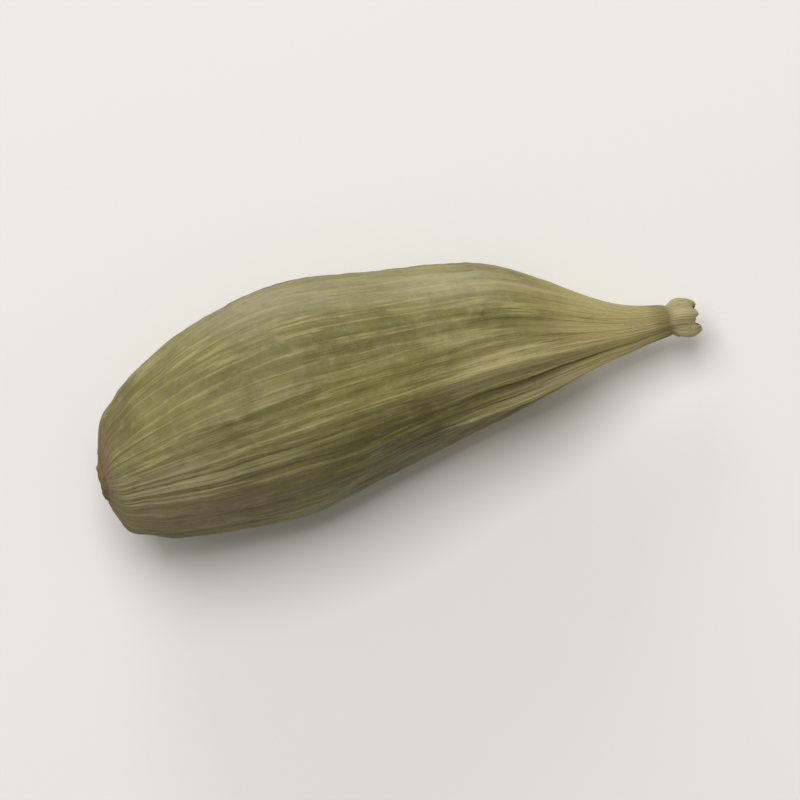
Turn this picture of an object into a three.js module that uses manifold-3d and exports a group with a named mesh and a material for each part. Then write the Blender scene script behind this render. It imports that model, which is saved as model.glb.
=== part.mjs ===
// A dried green cardamom pod lying on the flattest of its three sides.
// Units are millimetres and +Z is up. The pod's long axis runs along X, from the stalk
// scar at -X to the beak at +X. The pod grew as one piece, so it is one closed solid.
import * as THREE from "three";
import { ParametricGeometry } from "three/addons/geometries/ParametricGeometry.js";
import { mergeVertices } from "three/addons/utils/BufferGeometryUtils.js";
import Module from "manifold-3d";

// Driving dimensions
const POD_LENGTH = 16.0; // stalk scar to the end of the beak
const BODY_RADIUS = 2.86; // mean radius at the widest place
const STALK_RADIUS = 0.5; // low scar left where the stalk broke away
const SCAR_HEIGHT = 0.12; // step from the scar to the rounded base
const NECK_RADIUS = 0.42; // end of the beak, at the crease before the nub
const NUB_RADIUS = 0.48; // dried foot of the flower, left on the beak
const HOLLOW_DEPTH = 0.4; // pit in the end of the nub
const BOW = 0.95; // how far the middle bends towards +Y
const SHOULDER_BOW = 0.13; // further bend where the pod starts to taper
const SHOULDER_PLACE = 0.69; // share of the length
const SHOULDER_SPREAD = 0.13;
const BEAK_LIFT = 0.25; // how far the end of the beak turns back towards +Y
const LIFT_START = 0.86; // share of the length where it starts to turn
const FLATTENING = 0.95; // height of the section against its width
const TWIST_DEG = 9; // how far the veins turn about the axis from end to end
const PITCH_DEG = 5.0; // beak end dips until the weight is over the flat spot
const FLAT_SPOT_DEPTH = 0.16; // worn off the underside where the pod rests

// Relief of the husk
const RIB_COUNT = 21; // veins from stalk to beak
const RIB_HEIGHT = 0.12;
const RIB_SHARPNESS = 1.4; // above 1 the veins are narrower than the furrows
const RIB_SINK = 0.4; // share of the height that lies under the mean radius
const BASE_RIB_SHARE = 0.45; // the veins are lower on the base half
const PRESSED_SHARE = 0.8; // relief lost underneath, where the pod rests
const LOBE_SHARE = 0.07; // three seed chambers make a blunt triangle
const LOBE_COUNT = 3;
const PLEAT_SHARE = 0.1; // every third vein stands up where the husk gathers at the beak
const RIBS_PER_PLEAT = 3;
const PLEAT_PEAK = 0.75; // share of the length where the pleats are deepest
const PLEAT_SPREAD = 0.2;
const TOP_ANGLE = Math.PI / 2 + 0.12; // direction of the upper chamber, from +Y towards +Z

// Mesh density
const COLUMNS_PER_RIB = 4;
const ROWS_PER_SPAN = 3;

// Half outline from the middle of the stalk scar to the floor of the hollow,
// each point as its distance along the axis and the mean radius there
const OUTLINE = new THREE.SplineCurve(
  [
    [SCAR_HEIGHT, 0],
    [0, 0.75 * STALK_RADIUS],
    [0.75 * SCAR_HEIGHT, STALK_RADIUS],
    [1.5 * SCAR_HEIGHT, 1.75 * STALK_RADIUS],
    [0.027 * POD_LENGTH, 0.5 * BODY_RADIUS],
    [0.055 * POD_LENGTH, 0.61 * BODY_RADIUS],
    [0.1 * POD_LENGTH, 0.745 * BODY_RADIUS],
    [0.19 * POD_LENGTH, 0.9 * BODY_RADIUS],
    [0.32 * POD_LENGTH, BODY_RADIUS],
    [0.45 * POD_LENGTH, 0.91 * BODY_RADIUS],
    [0.58 * POD_LENGTH, 0.785 * BODY_RADIUS],
    [0.69 * POD_LENGTH, 0.655 * BODY_RADIUS],
    [0.775 * POD_LENGTH, 0.465 * BODY_RADIUS],
    [0.84 * POD_LENGTH, 0.3 * BODY_RADIUS],
    [0.9 * POD_LENGTH, 1.32 * NECK_RADIUS],
    [0.944 * POD_LENGTH, NECK_RADIUS],
    [0.952 * POD_LENGTH, 0.9 * NECK_RADIUS],
    [0.962 * POD_LENGTH, 0.93 * NUB_RADIUS],
    [0.981 * POD_LENGTH, NUB_RADIUS],
    [POD_LENGTH, 0.8 * NUB_RADIUS],
    [POD_LENGTH - 0.15 * HOLLOW_DEPTH, 0.55 * NUB_RADIUS],
    [POD_LENGTH - 0.8 * HOLLOW_DEPTH, 0.42 * NUB_RADIUS],
    [POD_LENGTH - HOLLOW_DEPTH, 0],
  ].map(([along, radius]) => new THREE.Vector2(along, radius)),
);
const SPANS = OUTLINE.points.length - 1;

const FULL_TURN = 2 * Math.PI;

// A wave that closes on itself after one turn about the axis
function roundWave(rib, cycles, phase) {
  return Math.sin((FULL_TURN * cycles * rib) / RIB_COUNT + phase);
}

// Angle of a rib about the axis: the ribs stand a little unevenly and wander along the pod
function ribAngle(rib, share) {
  const uneven = 0.49 * roundWave(rib, LOBE_COUNT, 1.96) + 0.45 * roundWave(rib, 1, 0.52);
  const wander = 0.16 * Math.sin(5.2 * share + 1.1) * roundWave(rib, 4, 2.6);
  return TOP_ANGLE + (FULL_TURN * (rib + uneven + wander)) / RIB_COUNT;
}

// How far the relief is kept at an angle: it is pressed nearly flat underneath, where the pod rests
function reliefKept(angle) {
  return 1 - PRESSED_SHARE * THREE.MathUtils.smoothstep(-Math.sin(angle), 0.8, 0.97);
}

// Height of the veins over the skin between them, dying away towards both ends
function ribRelief(rib, share, radius) {
  const crest = Math.pow(0.5 + 0.5 * Math.cos(FULL_TURN * rib), RIB_SHARPNESS);
  const strength = 0.8 + 0.15 * roundWave(rib, 4, 0.9) + 0.15 * Math.sin(7 * share + roundWave(rib, 3, 0));
  const fade = THREE.MathUtils.smoothstep(radius, 0.8 * NECK_RADIUS, 0.8 * BODY_RADIUS);
  const stand = THREE.MathUtils.lerp(BASE_RIB_SHARE, 1, THREE.MathUtils.smoothstep(share, 0.4, 0.7));
  return RIB_HEIGHT * stand * fade * (strength * crest - RIB_SINK);
}

// A bump of height 1 that dies away on both sides of its place
function bell(value, place, spread) {
  return Math.exp(-Math.pow((value - place) / spread, 2));
}

// Folds of the husk where it gathers towards the beak, as a share of the radius.
// They are a little deeper towards -Y than towards +Y.
function pleatShare(rib, share) {
  const near = bell(share, PLEAT_PEAK, PLEAT_SPREAD);
  const depth = 0.6 + 0.18 * roundWave(rib, 1, 0.52);
  return PLEAT_SHARE * near * depth * Math.cos((FULL_TURN * rib) / RIBS_PER_PLEAT);
}

// Blunt triangle of the section, as a share of the radius: full on the body, gone at the neck
function lobeShare(angle, share) {
  const body = THREE.MathUtils.smoothstep(1 - share, 0.1, 0.45);
  return LOBE_SHARE * body * Math.cos(LOBE_COUNT * (angle - TOP_ANGLE));
}

// A point of the husk: around goes once about the axis, down goes from the scar to the hollow
function huskPoint(around, down, target) {
  const station = OUTLINE.getPoint(down);
  const share = station.x / POD_LENGTH;
  const radius = Math.max(0, station.y);
  const rib = around * RIB_COUNT;
  const angle = ribAngle(rib, share);
  const relief = radius * pleatShare(rib, share) + ribRelief(rib, share, radius);
  const reach = radius * (1 + lobeShare(angle, share)) + reliefKept(angle) * relief;
  const turned = angle + THREE.MathUtils.degToRad(TWIST_DEG) * (share - 0.5);
  const shoulder = SHOULDER_BOW * bell(share, SHOULDER_PLACE, SHOULDER_SPREAD);
  const lift = BEAK_LIFT * THREE.MathUtils.smoothstep(share, LIFT_START, 1);
  const bow = 4 * BOW * share * (1 - share) + shoulder + lift;
  return target.set(
    station.x - POD_LENGTH / 2,
    reach * Math.cos(turned) + bow,
    FLATTENING * reach * Math.sin(turned),
  );
}

const wasm = await Module();
wasm.setup();

// A closed geometry as a solid that can be cut
function toSolid(geometry) {
  geometry.deleteAttribute("normal");
  geometry.deleteAttribute("uv");
  const merged = mergeVertices(geometry, 1e-4);
  const vertProperties = new Float32Array(merged.getAttribute("position").array);
  const triVerts = new Uint32Array(merged.index.array);
  return new wasm.Manifold(new wasm.Mesh({ numProp: 3, vertProperties, triVerts }));
}

// A solid back as a geometry
function toGeometry(solid) {
  const mesh = solid.getMesh();
  const geometry = new THREE.BufferGeometry();
  geometry.setAttribute("position", new THREE.BufferAttribute(mesh.vertProperties, 3));
  geometry.setIndex(new THREE.BufferAttribute(mesh.triVerts, 1));
  return geometry;
}

// The whole husk, dipped to its resting attitude, with the flat spot cut at Z = 0
function podGeometry() {
  const husk = new ParametricGeometry(huskPoint, RIB_COUNT * COLUMNS_PER_RIB, SPANS * ROWS_PER_SPAN);
  husk.rotateY(THREE.MathUtils.degToRad(PITCH_DEG));
  husk.computeBoundingBox();
  husk.translate(0, 0, -husk.boundingBox.min.z - FLAT_SPOT_DEPTH);
  const ground = new THREE.BoxGeometry(2 * POD_LENGTH, 2 * POD_LENGTH, POD_LENGTH);
  ground.translate(0, 0, -POD_LENGTH / 2);
  const geometry = toGeometry(toSolid(husk).subtract(toSolid(ground)));
  geometry.computeBoundingBox();
  const middle = geometry.boundingBox.getCenter(new THREE.Vector3());
  geometry.translate(-middle.x, -middle.y, 0);
  geometry.computeVertexNormals();
  return geometry;
}

const huskMaterial = new THREE.MeshStandardMaterial({ color: 0x8f8a5c, roughness: 0.68, metalness: 0 });

const pod = new THREE.Mesh(podGeometry(), huskMaterial);
pod.name = "pod";

const cardamom = new THREE.Group();
cardamom.add(pod);

export default cardamom;
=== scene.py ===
import math
import bmesh
import bpy
from mathutils import Matrix, Vector, noise


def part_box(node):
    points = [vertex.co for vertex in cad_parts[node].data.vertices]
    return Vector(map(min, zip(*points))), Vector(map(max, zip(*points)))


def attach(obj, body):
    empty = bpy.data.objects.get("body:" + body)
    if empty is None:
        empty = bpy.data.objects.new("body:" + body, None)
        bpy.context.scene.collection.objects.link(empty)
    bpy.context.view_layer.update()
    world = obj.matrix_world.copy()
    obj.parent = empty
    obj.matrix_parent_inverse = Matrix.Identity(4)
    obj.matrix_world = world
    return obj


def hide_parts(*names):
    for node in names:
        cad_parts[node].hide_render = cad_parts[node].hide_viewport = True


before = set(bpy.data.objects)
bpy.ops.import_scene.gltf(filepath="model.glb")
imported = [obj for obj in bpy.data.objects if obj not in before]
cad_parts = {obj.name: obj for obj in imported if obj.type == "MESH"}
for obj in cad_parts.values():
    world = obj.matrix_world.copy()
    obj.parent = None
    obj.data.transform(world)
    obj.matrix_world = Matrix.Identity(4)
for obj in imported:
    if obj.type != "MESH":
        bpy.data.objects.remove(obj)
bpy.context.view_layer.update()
podLow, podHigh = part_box("pod")
print("frame loaded, pod box in mm", [round(1000 * side, 2) for side in podHigh - podLow])

mm = 0.001
fullTurn = 2 * math.pi


def smoothStep(value, low, high):
    share = min(1, max(0, (value - low) / (high - low)))
    return share * share * (3 - 2 * share)


def bell(value, middle, spread):
    return math.exp(-((value - middle) / spread) ** 2)


# the grown form of the husk, the same as the solid's; lengths in metres
huskForm = {
    "length": 16.0 * mm,        # stalk scar to the end of the beak
    "bodyRadius": 2.86 * mm,    # mean radius at the widest place
    "stalkRadius": 0.5 * mm,
    "scarHeight": 0.12 * mm,
    "neckRadius": 0.42 * mm,    # at the crease before the nub
    "nubRadius": 0.48 * mm,
    "hollowDepth": 0.4 * mm,
    "bow": 0.95 * mm,           # sideways bend, towards +Y
    "shoulderBow": 0.13 * mm,   # further bend where the taper starts
    "shoulderPlace": 0.69,
    "shoulderSpread": 0.13,
    "beakLift": 0.25 * mm,      # the end of the beak turns back towards +Y
    "liftStart": 0.86,
    "flattening": 0.95,
    "twist": math.radians(9),
    "pitch": math.radians(5),   # the beak end dips
    "ribCount": 21,
    "ribHeight": 0.12 * mm,
    "ribSharpness": 1.4,
    "ribSink": 0.4,
    "baseRibShare": 0.45,       # the veins are lower on the base half
    "pressedShare": 0.8,        # relief lost underneath
    "lobeCount": 3,             # seed chambers
    "lobeShare": 0.07,
    "ribsPerPleat": 3,
    "pleatShare": 0.1,
    "pleatPeak": 0.75,          # share of the length
    "pleatSpread": 0.2,
    "topAngle": math.pi / 2 + 0.12,
}

# finer relief that only shows close up; heights in metres
huskSkin = {
    "columnsPerRib": 16,
    "rowStep": 0.075 * mm,
    "seedLump": 0.075 * mm,     # seeds pressing from inside
    "ribBreak": 0.05 * mm,      # veins swell and sink along their way
    "foldCrease": 0.03 * mm,    # sharp bottom of the folds at the beak
    "wrinkle": 0.03 * mm,       # long drying wrinkles
    "fineVein": 0.014 * mm,
    "fineVeinsPerRib": 3,
    "crossCrease": 0.014 * mm,
    "nubTear": 0.14 * mm,       # how far the torn end of the nub runs back
    "nubLump": 0.06 * mm,
    "nubFold": 0.045 * mm,
    "creaseWander": 0.09 * mm,  # the crease before the nub runs unevenly
    "scarRough": 0.035 * mm,
}


# half outline as distance along the axis and radius, from the scar to the floor of the nub's pit
def outlinePoints(form):
    long, body, stalk, scar = form["length"], form["bodyRadius"], form["stalkRadius"], form["scarHeight"]
    neck, nub, hollow = form["neckRadius"], form["nubRadius"], form["hollowDepth"]
    return [Vector(point) for point in [
        (scar, 0),
        (0, 0.75 * stalk),
        (0.75 * scar, stalk),
        (1.5 * scar, 1.75 * stalk),
        (0.027 * long, 0.5 * body),
        (0.055 * long, 0.61 * body),
        (0.1 * long, 0.745 * body),
        (0.19 * long, 0.9 * body),
        (0.32 * long, body),
        (0.45 * long, 0.91 * body),
        (0.58 * long, 0.785 * body),
        (0.69 * long, 0.655 * body),
        (0.775 * long, 0.465 * body),
        (0.84 * long, 0.3 * body),
        (0.9 * long, 1.32 * neck),
        (0.944 * long, neck),
        (0.952 * long, 0.9 * neck),
        (0.962 * long, 0.93 * nub),
        (0.981 * long, nub),
        (long, 0.8 * nub),
        (long - 0.15 * hollow, 0.55 * nub),
        (long - 0.8 * hollow, 0.42 * nub),
        (long - hollow, 0),
    ]]


# point of a smooth curve through all the outline points; down counts spans
def alongOutline(points, down):
    last = len(points) - 1
    span = min(int(down), last - 1)
    share = down - span
    before, start = points[max(span - 1, 0)], points[span]
    end, after = points[span + 1], points[min(span + 2, last)]
    leave, arrive = (end - before) / 2, (after - start) / 2
    cubic = 2 * start - 2 * end + leave + arrive
    square = -3 * start + 3 * end - 2 * leave - arrive
    spot = cubic * share ** 3 + square * share ** 2 + leave * share + start
    return Vector((spot.x, max(0, spot.y)))


# rows of the profile, closer where the outline's points are closer
def outlineRows(points, rowStep):
    rows = []
    for span in range(len(points) - 1):
        cuts = max(3, round((points[span + 1] - points[span]).length / rowStep))
        rows += [span + cut / cuts for cut in range(cuts)]
    return rows + [len(points) - 1]


def roundWave(rib, cycles, phase):
    return math.sin(fullTurn * cycles * rib / huskForm["ribCount"] + phase)


# the veins stand a little unevenly and wander along the pod
def ribAngle(rib, share):
    uneven = 0.49 * roundWave(rib, huskForm["lobeCount"], 1.96) + 0.45 * roundWave(rib, 1, 0.52)
    wander = 0.16 * math.sin(5.2 * share + 1.1) * roundWave(rib, 4, 2.6)
    return huskForm["topAngle"] + fullTurn * (rib + uneven + wander) / huskForm["ribCount"]


# the relief is pressed nearly flat underneath
def reliefKept(angle):
    return 1 - huskForm["pressedShare"] * smoothStep(-math.sin(angle), 0.8, 0.97)


def ribFade(radius):
    return smoothStep(radius, 0.8 * huskForm["neckRadius"], 0.8 * huskForm["bodyRadius"])


def ribCrest(rib):
    return (0.5 + 0.5 * math.cos(fullTurn * rib)) ** huskForm["ribSharpness"]


def ribRelief(rib, share, radius):
    strength = 0.8 + 0.15 * roundWave(rib, 4, 0.9) + 0.15 * math.sin(7 * share + roundWave(rib, 3, 0))
    low = huskForm["baseRibShare"]
    stand = low + (1 - low) * smoothStep(share, 0.4, 0.7)
    return huskForm["ribHeight"] * stand * ribFade(radius) * (strength * ribCrest(rib) - huskForm["ribSink"])


def pleatNear(share):
    return bell(share, huskForm["pleatPeak"], huskForm["pleatSpread"])


# folds at the beak, a little deeper towards -Y
def pleatWave(rib):
    depth = 0.6 + 0.18 * roundWave(rib, 1, 0.52)
    return depth * math.cos(fullTurn * rib / huskForm["ribsPerPleat"])


def lobeShare(angle, share):
    body = smoothStep(1 - share, 0.1, 0.45)
    return huskForm["lobeShare"] * body * math.cos(huskForm["lobeCount"] * (angle - huskForm["topAngle"]))


# place of one husk point, its angle, and how far it stands over (or under) the skin round it
def huskPoint(rib, spot):
    form = huskForm
    share = spot.x / form["length"]
    angle = ribAngle(rib, share)
    pleat = form["pleatShare"] * pleatNear(share) * pleatWave(rib)
    relief = reliefKept(angle) * (spot.y * pleat + ribRelief(rib, share, spot.y))
    reach = spot.y * (1 + lobeShare(angle, share)) + relief
    turned = angle + form["twist"] * (share - 0.5)
    bow = 4 * form["bow"] * share * (1 - share) + form["beakLift"] * smoothStep(share, form["liftStart"], 1)
    bow += form["shoulderBow"] * bell(share, form["shoulderPlace"], form["shoulderSpread"])
    place = Vector((spot.x - form["length"] / 2, reach * math.cos(turned) + bow,
                    form["flattening"] * reach * math.sin(turned)))
    return place, angle, relief


# height of the close-up relief over the grown form, along the surface normal
def skinRelief(rib, angle, spot):
    skin = huskSkin
    share = spot.x / huskForm["length"]
    around = Vector((0, math.cos(angle), math.sin(angle))) * spot.y / mm
    flat = Vector((spot.x / mm, 0, 0))
    fade = ribFade(spot.y)
    lump = noise.noise(0.5 * flat + 0.5 * around + Vector((3.1, 0, 0)))
    swell = noise.noise(0.6 * flat + 0.8 * around + Vector((0, 2.2, 9)))
    wrinkle = noise.noise(0.7 * flat + 2.6 * around) + 0.5 * noise.noise(1.3 * flat + 5.5 * around)
    shift = 0.35 * noise.noise(0.5 * flat + 0.9 * around + Vector((0, 7.7, 0)))
    vein = math.cos(fullTurn * (skin["fineVeinsPerRib"] * rib + shift))
    crease = noise.noise(4.2 * flat + 1.1 * around + Vector((0, 0, 5.3)))
    fold = smoothStep(-pleatWave(rib + 0.25 * swell), 0.52, 0.75) * bell(share, 0.79, 0.12)
    height = skin["seedLump"] * lump * smoothStep(0.86 - share, 0, 0.3) * fade
    height += skin["ribBreak"] * swell * ribCrest(rib) * fade
    height -= skin["foldCrease"] * fold * min(1, spot.y / (1.2 * mm))
    height += skin["wrinkle"] * wrinkle * (0.25 + 0.75 * fade)
    height += skin["fineVein"] * vein * (0.3 + 0.7 * fade)
    height += skin["crossCrease"] * crease * fade
    onNub = smoothStep(share, 0.953, 0.968)
    height += skin["nubLump"] * noise.noise(2.6 * flat + 2.6 * around) * onNub
    height += skin["nubFold"] * math.cos(5 * angle + 2 * swell) * onNub
    height += skin["scarRough"] * noise.noise(2 * flat + 7 * around) * smoothStep(0.02 - share, 0, 0.015)
    return height * (0.3 + 0.7 * reliefKept(angle)), vein, fold


# how far the nub's crease and torn end run back at a place round it
def nubTear(angle, share):
    around = Vector((math.cos(angle), math.sin(angle), 0))
    ragged = 0.5 + 0.35 * noise.noise(1.7 * around) + 0.3 * noise.noise(5 * around)
    wander = noise.noise(1.3 * around + Vector((4, 0, 0)))
    crease = huskSkin["creaseWander"] * wander * smoothStep(share, 0.9, 0.94)
    return huskSkin["nubTear"] * max(0, ragged) * smoothStep(share, 0.975, 1) + crease


def buildHusk():
    points = outlinePoints(huskForm)
    rows = outlineRows(points, huskSkin["rowStep"])
    columns = huskForm["ribCount"] * huskSkin["columnsPerRib"]
    bm = bmesh.new()
    downLayer = bm.verts.layers.float.new("down")
    ridgeLayer = bm.verts.layers.float.new("ridge")
    alongLayer = bm.verts.layers.float.new("along")
    insideLayer = bm.verts.layers.float.new("inside")
    grainLayer = bm.verts.layers.float_vector.new("grain")
    profile = []
    for down in rows:
        spot = alongOutline(points, down)
        vert = bm.verts.new((spot.x, spot.y, 0))
        vert[downLayer] = down
        profile.append(vert)
    profile += [bm.edges.new(pair) for pair in zip(profile, profile[1:])]
    bmesh.ops.spin(bm, geom=profile, cent=(0, 0, 0), axis=(1, 0, 0), dvec=(0, 0, 0),
                   angle=fullTurn, steps=columns, use_merge=True)
    bmesh.ops.remove_doubles(bm, verts=bm.verts, dist=0.001 * mm)

    # grown form first, set down where the solid lies
    endSpan = points.index(max(points, key=lambda point: point.x))
    drum = huskForm["bodyRadius"] / mm  # the grain is unrolled on a drum of this radius
    dip = Matrix.Rotation(huskForm["pitch"], 3, "Y")
    facts = {}
    for vert in bm.verts:
        rib = math.atan2(vert.co.z, vert.co.y) / fullTurn * huskForm["ribCount"]
        spot = alongOutline(points, vert[downLayer])
        share = spot.x / huskForm["length"]
        place, angle, relief = huskPoint(rib, spot)
        place.x -= nubTear(angle, share)
        vert.co = dip @ place
        facts[vert] = (rib, angle, spot, relief)
        vert[alongLayer] = share
        vert[insideLayer] = smoothStep(vert[downLayer], endSpan + 0.2, endSpan + 1)
        vert[grainLayer] = Vector((drum * math.cos(angle), drum * math.sin(angle), spot.x / mm))
    low = Vector([min(vert.co[axis] for vert in bm.verts) for axis in range(3)])
    high = Vector([max(vert.co[axis] for vert in bm.verts) for axis in range(3)])
    shift = (podLow + podHigh - low - high) / 2
    shift.z = podHigh.z - high.z
    bmesh.ops.translate(bm, verts=bm.verts, vec=shift)
    bmesh.ops.recalc_face_normals(bm, faces=bm.faces)
    bm.normal_update()

    # then the close-up relief, and the flat spot
    for vert, (rib, angle, spot, relief) in facts.items():
        height, vein, fold = skinRelief(rib, angle, spot)
        vert.co += vert.normal * height
        vert.co.z = max(vert.co.z, podLow.z)
        vert[ridgeLayer] = (relief + 0.5 * height) / huskForm["ribHeight"] + 0.1 * vein - 0.3 * fold
    for face in bm.faces:
        face.smooth = True
    mesh = bpy.data.meshes.new("husk")
    bm.to_mesh(mesh)
    bm.free()
    husk = bpy.data.objects.new("husk", mesh)
    bpy.context.scene.collection.objects.link(husk)
    triangles = sum(len(face.vertices) - 2 for face in mesh.polygons)
    print("husk built,", len(mesh.vertices), "points,", triangles, "triangles")
    return husk


def srgb(red, green, blue):
    shares = [value / 255 for value in (red, green, blue)]
    return [s / 12.92 if s <= 0.04045 else ((s + 0.055) / 1.055) ** 2.4 for s in shares] + [1]


# dried husk colours; some also serve as painted highlight, sheen and shade
huskColours = {
    "olive": srgb(98, 92, 46),
    "sage": srgb(130, 124, 77),
    "yellow": srgb(142, 135, 74),
    "straw": srgb(178, 164, 110),
    "furrowAndShade": srgb(68, 55, 28),
    "crest": srgb(178, 167, 116),
    "blush": srgb(122, 102, 80),
    "paintedLight": srgb(172, 155, 122),
    "dustAndSheen": srgb(174, 167, 134),
    "speck": srgb(64, 48, 28),
    "nub": srgb(176, 163, 118),
    "scar": srgb(124, 100, 66),
    "pit": srgb(46, 34, 22),
}

# places where the skin is tinted: colour, middle and reach across in millimetres, strength; some are painted
# shade or painted light rather than a tint of the skin
huskPatches = [
    ("olive", (-1.2, 1.1, 5.0), 2.0, 0.9),
    # painted shade: the lower flank darker, where it turns away from the light
    ("olive", (-2.6, -2.5, 3.4), 1.6, 0.5),
    ("olive", (2.0, 0.5, 0.6), 1.8, 0.5),
    ("yellow", (-0.3, -0.3, 5.0), 1.4, 0.7),
    ("straw", (2.8, -0.6, 4.0), 1.2, 0.5),
    # painted sheen: these two patches lighten and grey the upper flank, where the light catches it
    ("dustAndSheen", (-2.6, 2.9, 3.2), 2.0, 0.55),
    ("dustAndSheen", (2.2, 2.2, 2.9), 1.7, 0.6),
    # painted light: the lower left of the body lighter
    ("dustAndSheen", (-5.8, -1.2, 4.0), 1.7, 0.5),
    ("blush", (-5.2, -2.4, 3.6), 1.5, 0.6),
    ("blush", (0.6, -2.2, 1.6), 1.4, 0.4),
    ("blush", (-2.6, 2.3, 0.9), 1.4, 0.45),
    ("blush", (-8.0, -0.4, 3.2), 1.5, 0.25),
    # painted light: the lower ridge near the beak lighter, as if lit from below
    ("paintedLight", (4.0, -1.45, 2.6), 1.2, 0.65),
    # painted shade: the lower flank darker below the middle
    ("furrowAndShade", (0.6, -2.1, 3.2), 0.9, 0.45),
]
patchSqueeze = Vector((0.5, 1, 1))  # they reach twice as far along the pod as across it
patchRagged = 0.8 * mm              # how far their edges run in and out


# small helpers for the node tree
def addNode(tree, kind, **settings):
    node = tree.nodes.new(kind)
    for name, value in settings.items():
        setattr(node, name, value)
    return node


def feed(tree, socket, value):
    if isinstance(value, bpy.types.NodeSocket):
        tree.links.new(value, socket)
    else:
        socket.default_value = value


def attribute(tree, name, output="Fac"):
    return addNode(tree, "ShaderNodeAttribute", attribute_name=name).outputs[output]


def scaled(tree, place, stretch):
    node = addNode(tree, "ShaderNodeMapping")
    feed(tree, node.inputs["Vector"], place)
    node.inputs["Scale"].default_value = stretch
    return node.outputs["Vector"]


def noiseOn(tree, place, scale, detail=3, roughness=0.55, output="Fac"):
    node = addNode(tree, "ShaderNodeTexNoise")
    feed(tree, node.inputs["Vector"], place)
    node.inputs["Scale"].default_value = scale
    node.inputs["Detail"].default_value = detail
    node.inputs["Roughness"].default_value = roughness
    return node.outputs[output]


def mapped(tree, value, fromLow, fromHigh, toLow=0, toHigh=1):
    node = addNode(tree, "ShaderNodeMapRange", interpolation_type="SMOOTHSTEP")
    feed(tree, node.inputs["Value"], value)
    for name, number in zip(["From Min", "From Max", "To Min", "To Max"], [fromLow, fromHigh, toLow, toHigh]):
        node.inputs[name].default_value = number
    return node.outputs["Result"]


def maths(tree, operation, first, second=0.0):
    node = addNode(tree, "ShaderNodeMath", operation=operation)
    feed(tree, node.inputs[0], first)
    feed(tree, node.inputs[1], second)
    return node.outputs["Value"]


def laid(tree, share, under, over, mode="MIX"):
    node = addNode(tree, "ShaderNodeMix", data_type="RGBA", blend_type=mode)
    factor, first, second = [socket for socket in node.inputs if socket.enabled]
    feed(tree, factor, share)
    feed(tree, first, under)
    feed(tree, second, over)
    return [socket for socket in node.outputs if socket.enabled][0]


# thin lines where a noise passes its middle
def threadLines(tree, value, width):
    return mapped(tree, maths(tree, "ABSOLUTE", maths(tree, "SUBTRACT", value, 0.5)), width, 0)


# one tinted place with a ragged edge; place is already squeezed
def patchShare(tree, place, ragged, middle, reach, strength):
    node = addNode(tree, "ShaderNodeVectorMath", operation="DISTANCE")
    feed(tree, node.inputs[0], place)
    node.inputs[1].default_value = Vector(middle) * patchSqueeze * mm
    away = maths(tree, "ADD", node.outputs["Value"], maths(tree, "MULTIPLY", ragged, patchRagged))
    return mapped(tree, away, reach * mm + patchRagged, patchRagged, 0, strength)


def speckShare(tree, place):
    cells = addNode(tree, "ShaderNodeTexVoronoi")
    wobble = addNode(tree, "ShaderNodeVectorMath", operation="MULTIPLY_ADD")
    feed(tree, wobble.inputs[0], noiseOn(tree, place, 5000, 2, 0.5, "Color"))
    wobble.inputs[1].default_value = [0.25 * mm] * 3
    feed(tree, wobble.inputs[2], place)
    feed(tree, cells.inputs["Vector"], wobble.outputs["Vector"])
    cells.inputs["Scale"].default_value = 1100
    split = addNode(tree, "ShaderNodeSeparateColor")
    feed(tree, split.inputs["Color"], cells.outputs["Color"])
    size = mapped(tree, split.outputs["Red"], 0.65, 1, 0, 0.15)
    return mapped(tree, maths(tree, "SUBTRACT", size, cells.outputs["Distance"]), 0, 0.1)


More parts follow.
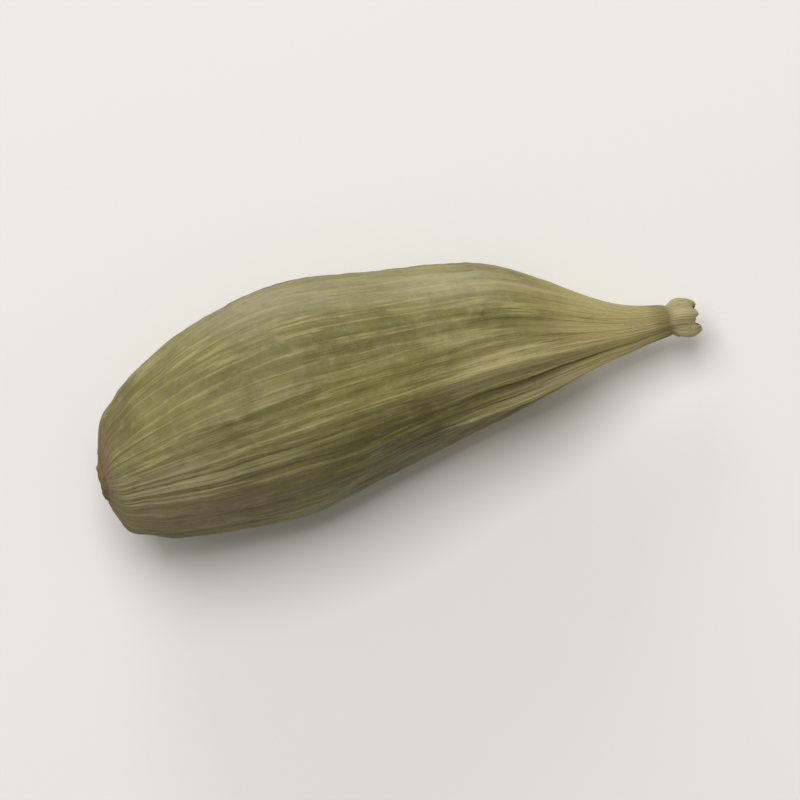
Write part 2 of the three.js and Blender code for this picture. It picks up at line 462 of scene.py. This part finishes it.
def driedHusk():
    colours = huskColours
    mat = bpy.data.materials.new("driedHusk")
    mat.use_nodes = True
    tree = mat.node_tree
    shader = tree.nodes["Principled BSDF"]
    place = addNode(tree, "ShaderNodeTexCoord").outputs["Object"]
    grain = attribute(tree, "grain", "Vector")
    ridge = attribute(tree, "ridge")
    along = attribute(tree, "along")
    inside = attribute(tree, "inside")

    # broad mottling, then long fibres
    broad = noiseOn(tree, place, 300, 2)
    patch = noiseOn(tree, place, 1000, 4, 0.6)
    fibre = noiseOn(tree, scaled(tree, grain, (1, 1, 0.12)), 4.5, 5, 0.7)
    fine = noiseOn(tree, place, 3200, 4, 0.65)
    veinlet = threadLines(tree, noiseOn(tree, scaled(tree, grain, (1, 1, 0.07)), 1.9, 3, 0.55), 0.05)
    thread = threadLines(tree, noiseOn(tree, scaled(tree, grain, (1, 1, 0.06)), 4.5, 3, 0.6), 0.12)
    colour = laid(tree, mapped(tree, broad, 0.35, 0.65), colours["olive"], colours["sage"])
    colour = laid(tree, mapped(tree, patch, 0.42, 0.7, 0, 0.4), colour, colours["yellow"])
    colour = laid(tree, mapped(tree, fibre, 0.5, 0.8, 0, 0.3), colour, colours["straw"])
    colour = laid(tree, mapped(tree, fibre, 0.5, 0.2, 0, 0.28), colour, colours["furrowAndShade"])
    squeezed = scaled(tree, place, patchSqueeze)
    ragged = maths(tree, "ADD", patch, fibre)
    for tint, middle, reach, strength in huskPatches:
        share = patchShare(tree, squeezed, ragged, middle, reach, strength)
        colour = laid(tree, share, colour, colours[tint])
    colour = laid(tree, mapped(tree, fine, 0.5, 0.75, 0, 0.2), colour, colours["dustAndSheen"])
    colour = laid(tree, mapped(tree, fine, 0.5, 0.25, 0, 0.3), colour, colours["olive"])

    # furrows darker, partly their own darker tone and partly painted shade; crests are rubbed pale, most of
    # all towards the beak
    stand = maths(tree, "MULTIPLY", ridge, mapped(tree, along, 0.3, 0.65, 0.35, 1))
    colour = laid(tree, mapped(tree, stand, 0.1, -1.6, 0, 0.2), colour, colours["furrowAndShade"])
    colour = laid(tree, mapped(tree, stand, 0.1, 1.3, 0, 0.6), colour, colours["crest"])
    brokenVein = maths(tree, "MULTIPLY", veinlet, mapped(tree, patch, 0.35, 0.65, 0.1, 0.45))
    colour = laid(tree, brokenVein, colour, colours["crest"])
    colour = laid(tree, maths(tree, "MULTIPLY", thread, 0.16), colour, colours["furrowAndShade"])

    # ends
    colour = laid(tree, mapped(tree, along, 0.66, 0.86, 0, 0.7), colour, colours["straw"])
    # painted shade: a dark ring in the crease before the nub
    colour = laid(tree, mapped(tree, along, 0.915, 0.94, 0, 0.35), colour, colours["furrowAndShade"])
    colour = laid(tree, mapped(tree, along, 0.948, 0.96, 0, 0.9), colour, colours["nub"])
    colour = laid(tree, mapped(tree, along, 0.035, 0.006, 0, 0.8), colour, colours["scar"])
    # painted shade: the nub's hollow painted nearly black
    colour = laid(tree, inside, colour, colours["pit"])
    colour = laid(tree, maths(tree, "MULTIPLY", speckShare(tree, place), 0.5), colour, colours["speck"])
    feed(tree, shader.inputs["Base Color"], colour)

    feed(tree, shader.inputs["Roughness"], mapped(tree, patch, 0.3, 0.7, 0.44, 0.62))
    shader.inputs["Specular IOR Level"].default_value = 0.28

    height = maths(tree, "ADD", maths(tree, "MULTIPLY", fibre, 0.7), maths(tree, "MULTIPLY", veinlet, 0.35))
    height = maths(tree, "ADD", height, maths(tree, "MULTIPLY", thread, -0.25))
    crepe = noiseOn(tree, scaled(tree, grain, (1, 1, 1.2)), 4.0, 4, 0.6)
    height = maths(tree, "ADD", height, maths(tree, "MULTIPLY", crepe, 0.7))
    height = maths(tree, "ADD", height, maths(tree, "MULTIPLY", fine, 0.6))
    bump = addNode(tree, "ShaderNodeBump")
    bump.inputs["Strength"].default_value = 0.8
    bump.inputs["Distance"].default_value = 0.04 * mm
    feed(tree, bump.inputs["Height"], height)
    feed(tree, shader.inputs["Normal"], bump.outputs["Normal"])
    return mat


husk = buildHusk()
husk.data.materials.append(driedHusk())
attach(husk, "root")
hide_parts("pod")


# pale floor, soft light from the top of the picture, camera straight above as in the photograph
studio = {
    "floorSize": 0.6,
    "floorDrop": 0.005 * mm,
    "cameraHeight": 0.26,
    "frameWidth": 20.5 * mm,       # width of the picture at the pod
    "beakUp": math.radians(14.7),  # the beak points right and this far up
    "worldGlow": 0.28,
}


def buildFloor():
    bm = bmesh.new()
    bmesh.ops.create_grid(bm, x_segments=1, y_segments=1, size=studio["floorSize"] / 2)
    bmesh.ops.translate(bm, verts=bm.verts, vec=(0, 0, podLow.z - studio["floorDrop"]))
    mesh = bpy.data.meshes.new("floor")
    bm.to_mesh(mesh)
    bm.free()
    floor = bpy.data.objects.new("floor", mesh)
    bpy.context.scene.collection.objects.link(floor)
    mat = bpy.data.materials.new("paleFloor")
    mat.use_nodes = True
    shader = mat.node_tree.nodes["Principled BSDF"]
    shader.inputs["Base Color"].default_value = srgb(236, 235, 231)
    shader.inputs["Roughness"].default_value = 0.9
    shader.inputs["Specular IOR Level"].default_value = 0.1
    mesh.materials.append(mat)


def addLight(name, place, width, watts):
    light = bpy.data.lights.new(name, "AREA")
    light.size = width
    light.energy = watts
    lamp = bpy.data.objects.new(name, light)
    lamp.location = place
    lamp.rotation_euler = (-Vector(place)).to_track_quat("-Z", "Y").to_euler()
    bpy.context.scene.collection.objects.link(lamp)


# middle of the pod as the picture shows it
def pictureMiddle(turn):
    spots = [turn @ vert.co for vert in husk.data.vertices]
    middle = [(min(s[axis] for s in spots) + max(s[axis] for s in spots)) / 2 for axis in range(3)]
    return turn.inverted() @ Vector(middle)


def buildStudio():
    scene = bpy.context.scene
    addLight("keyLight", (-0.02, 0.115, 0.265), 0.17, 0.62)
    addLight("rimLight", (0.0, 0.28, 0.075), 0.12, 0.34)
    world = bpy.data.worlds.new("softRoom")
    world.use_nodes = True
    world.node_tree.nodes["Background"].inputs["Color"].default_value = srgb(250, 246, 238)
    world.node_tree.nodes["Background"].inputs["Strength"].default_value = studio["worldGlow"]
    scene.world = world
    camera = bpy.data.cameras.new("camera")
    camera.lens = camera.sensor_width * studio["cameraHeight"] / studio["frameWidth"]
    camera.clip_start = 0.01
    view = bpy.data.objects.new("camera", camera)
    middle = pictureMiddle(Matrix.Rotation(studio["beakUp"], 3, "Z"))
    view.location = (middle.x, middle.y, middle.z + studio["cameraHeight"])
    view.rotation_euler = (0, 0, -studio["beakUp"])
    scene.collection.objects.link(view)
    scene.camera = view
    scene.view_settings.view_transform = "Standard"


buildFloor()
buildStudio()
print("studio set")
